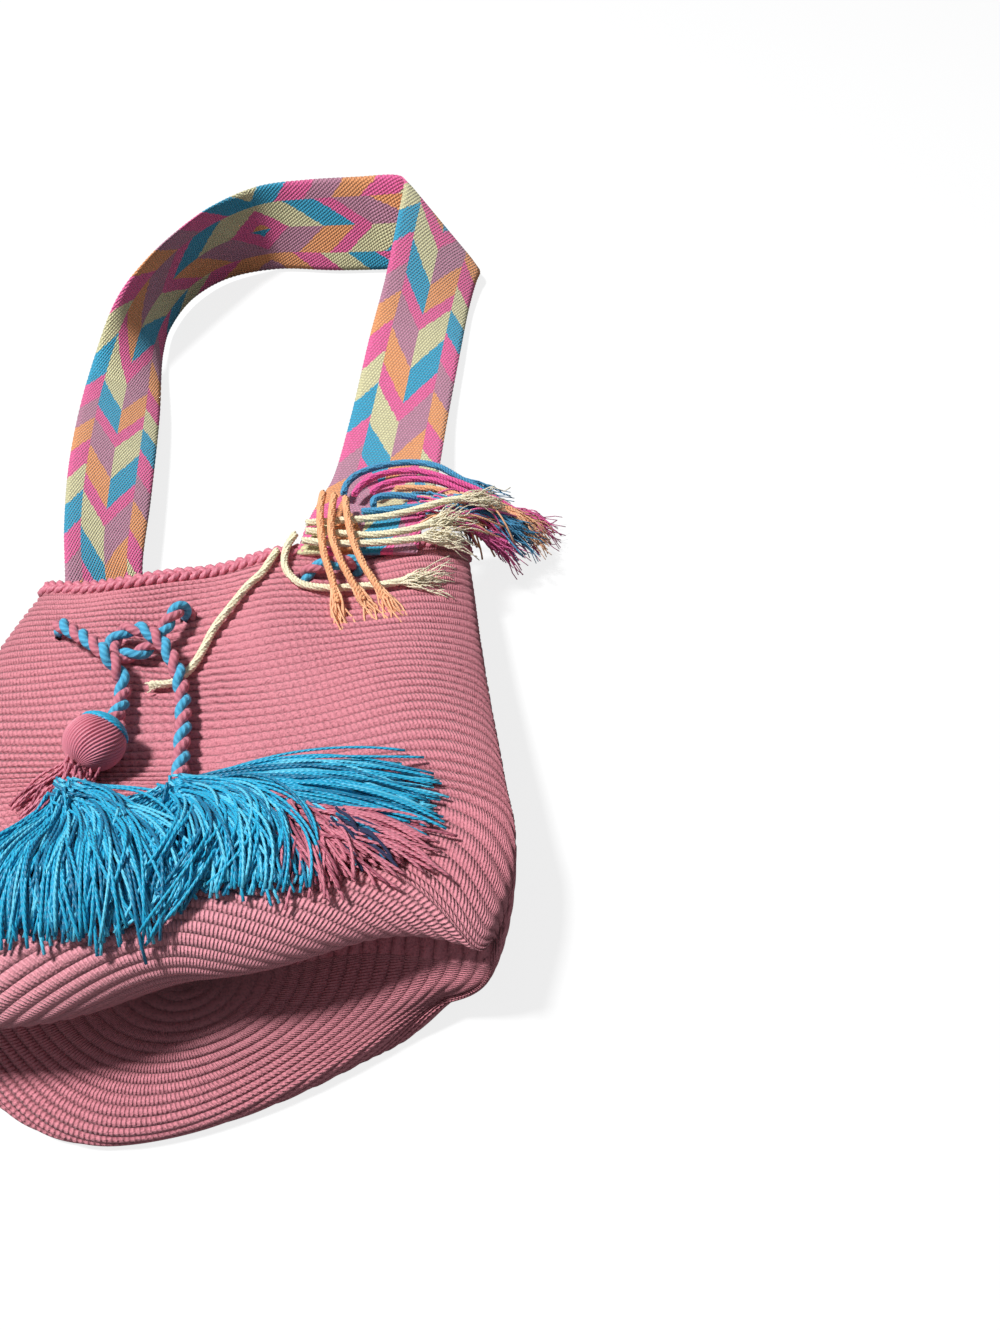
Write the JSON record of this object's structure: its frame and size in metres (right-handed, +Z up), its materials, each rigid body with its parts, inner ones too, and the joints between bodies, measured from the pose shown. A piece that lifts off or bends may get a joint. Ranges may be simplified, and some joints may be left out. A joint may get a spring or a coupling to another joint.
{
  "type": "mochila bag",
  "caption": "Crocheted drawstring bucket bag lying on its back, with a woven chevron shoulder strap, a twisted drawstring with tassels and a fringe of cords where the strap is sewn on.",
  "frame": {"origin": "on the flat underside of the bag's back wall, midway across the bag and about 78 mm towards the mouth from the base's centre", "axes": "+Y from the base towards the mouth and strap, +Z up away from the surface the bag lies on, +X to the bag's right seen from the base end"},
  "size_m": [0.2882, 0.6648, 0.0884],
  "materials": {
    "rose_crochet": "matte yarn",
    "woven_strap": "matte yarn",
    "drawstring_rope": "matte yarn",
    "peach_cord": "matte yarn",
    "cream_cord": "matte yarn",
    "blue_cord": "matte yarn",
    "pink_cord": "matte yarn",
    "rose_yarn": "matte yarn",
    "blue_yarn": "matte yarn",
    "navy_yarn": "matte yarn"
  },
  "bodies": {
    "root": {"bag_body": "rose_crochet", "shoulder_strap": "woven_strap", "left_tassel_head": "rose_yarn", "left_tassel_skirt": "rose_yarn", "right_tassel_pink_lock": "rose_yarn", "right_tassel_navy_lock": "navy_yarn", "drawstring_in_mouth": "drawstring_rope", "drawstring_left_end": "drawstring_rope", "drawstring_right_end": "drawstring_rope", "fringe_peach_1": "peach_cord", "fringe_peach_2": "peach_cord", "fringe_peach_3": "peach_cord", "fringe_cream_1": "cream_cord", "fringe_cream_2": "cream_cord", "fringe_cream_3": "cream_cord", "fringe_cream_4": "cream_cord", "fringe_cream_5": "cream_cord", "fringe_blue_1": "blue_cord", "fringe_blue_2": "blue_cord", "fringe_blue_3": "blue_cord", "fringe_pink_1": "pink_cord", "fringe_pink_2": "pink_cord", "fringe_pink_3": "pink_cord", "fringe_apricot_1": "peach_cord", "left_tassel_yarn": "blue_yarn", "right_tassel_neck": "blue_yarn", "right_tassel_long_lock": "blue_yarn", "right_tassel_lip_lock": "blue_yarn"}
  },
  "joints": []
}
